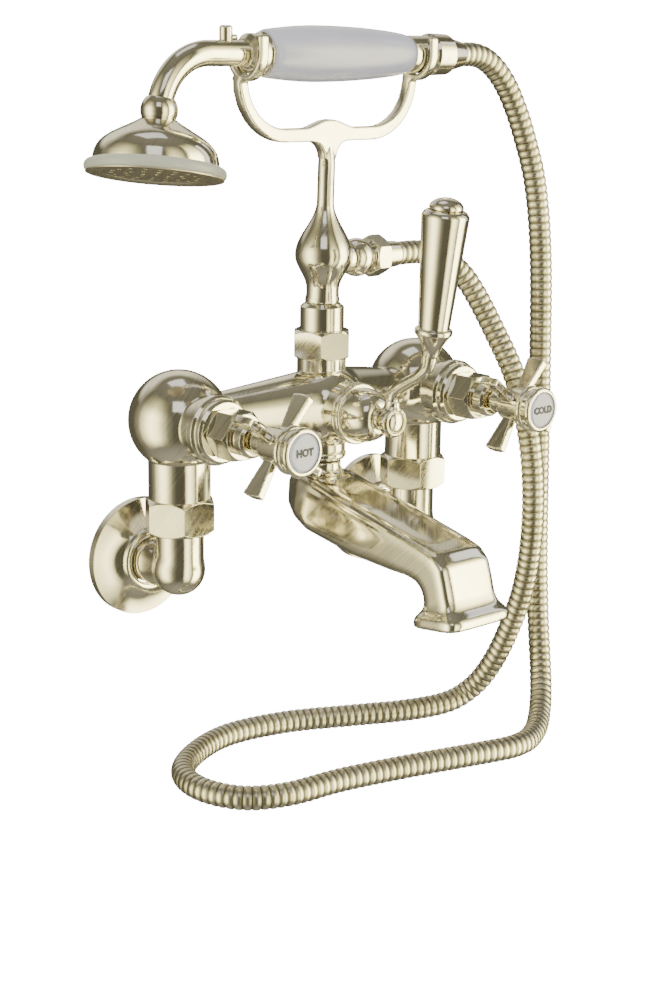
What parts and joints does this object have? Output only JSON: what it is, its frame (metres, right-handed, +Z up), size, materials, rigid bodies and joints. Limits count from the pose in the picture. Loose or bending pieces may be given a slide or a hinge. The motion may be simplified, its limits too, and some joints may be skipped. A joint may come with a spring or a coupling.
{
  "type": "bath shower mixer",
  "caption": "Wall-mounted bath shower mixer with cross handles, lever diverter, bath spout, and a telephone-style handset on a ribbed hose resting in a U-shaped cradle.",
  "frame": {"origin": "on the wall plane, midway between the hot and cold inlets, at the height of their axes", "axes": "+X along the wall towards the cold inlet, +Y into the wall, +Z up; the user stands on the -Y side"},
  "size_m": [0.3249, 0.2176, 0.4221],
  "materials": {
    "nickel": "polished warm nickel plate on brass",
    "face_metal": "nickel plate, darker in reflection",
    "brass": "machined",
    "porcelain": "glazed porcelain",
    "ceramic": "ground alumina",
    "rim_grey": "smooth",
    "rubber": "matte",
    "fibre": "pressed fibre"
  },
  "bodies": {
    "mixer": {"hot_wall_flange": "nickel", "hot_inlet_elbow": "nickel", "hot_union_nut": "nickel", "hot_bonnet": "nickel", "hot_gland_nut": "nickel", "hot_union_washer": "fibre", "hot_fixed_disc": "ceramic", "cold_wall_flange": "nickel", "cold_inlet_elbow": "nickel", "cold_union_nut": "nickel", "cold_bonnet": "nickel", "cold_gland_nut": "nickel", "cold_union_washer": "fibre", "cold_fixed_disc": "ceramic", "mixer_body": "nickel", "diverter_housing": "nickel", "spout": "nickel", "spout_ring": "nickel", "riser_nut": "nickel", "riser_collar": "nickel", "cradle": "nickel", "hose_outlet": "nickel", "outlet_hose_nut": "nickel", "outlet_hose_sleeve": "nickel", "hose": "nickel", "diverter_seal": "rubber", "spout_seal": "rubber", "riser_nipple": "brass", "riser_washer": "fibre", "outlet_washer": "fibre"},
    "hot_handle": {"hot_turning_disc": "ceramic", "hot_spindle": "brass", "hot_cross_handle": "nickel", "hot_handle_screw": "brass", "hot_bezel": "nickel", "hot_index": "porcelain"},
    "cold_handle": {"cold_turning_disc": "ceramic", "cold_spindle": "brass", "cold_cross_handle": "nickel", "cold_handle_screw": "brass", "cold_bezel": "nickel", "cold_index": "porcelain"},
    "diverter_lever": {"diverter_spool": "brass", "diverter_spindle": "brass", "lever_arm": "nickel", "lever_grip": "nickel", "lever_cap": "nickel", "lever_screw": "nickel"},
    "handset": {"handset_hose_sleeve": "nickel", "handset_hose_nut": "nickel", "handset_washer": "fibre", "handset_tube": "nickel", "handset_peg": "nickel", "front_ferrule": "nickel", "barrel": "porcelain", "rear_ferrule": "nickel", "head_collar": "nickel", "head_dome": "nickel", "head_rim": "rim_grey", "face_plate": "face_metal"}
  },
  "joints": [
    {"name": "hot_valve", "type": "hinge", "parent": "mixer", "child": "hot_handle", "pos_m": [-0.09, -0.1, 0.085], "axis": [0, -1, 0], "range_deg": [0, 90]},
    {"name": "cold_valve", "type": "hinge", "parent": "mixer", "child": "cold_handle", "pos_m": [0.09, -0.1, 0.085], "axis": [0, 1, 0], "range_deg": [0, 90]},
    {"name": "diverter_turn", "type": "hinge", "parent": "mixer", "child": "diverter_lever", "pos_m": [0, -0.1, 0.085], "axis": [0, -1, 0], "range_deg": [-45, 45]},
    {"name": "handset_lift", "type": "slide", "parent": "mixer", "child": "handset", "axis": [0, 0, 1], "range_m": [0, 0.03]}
  ]
}
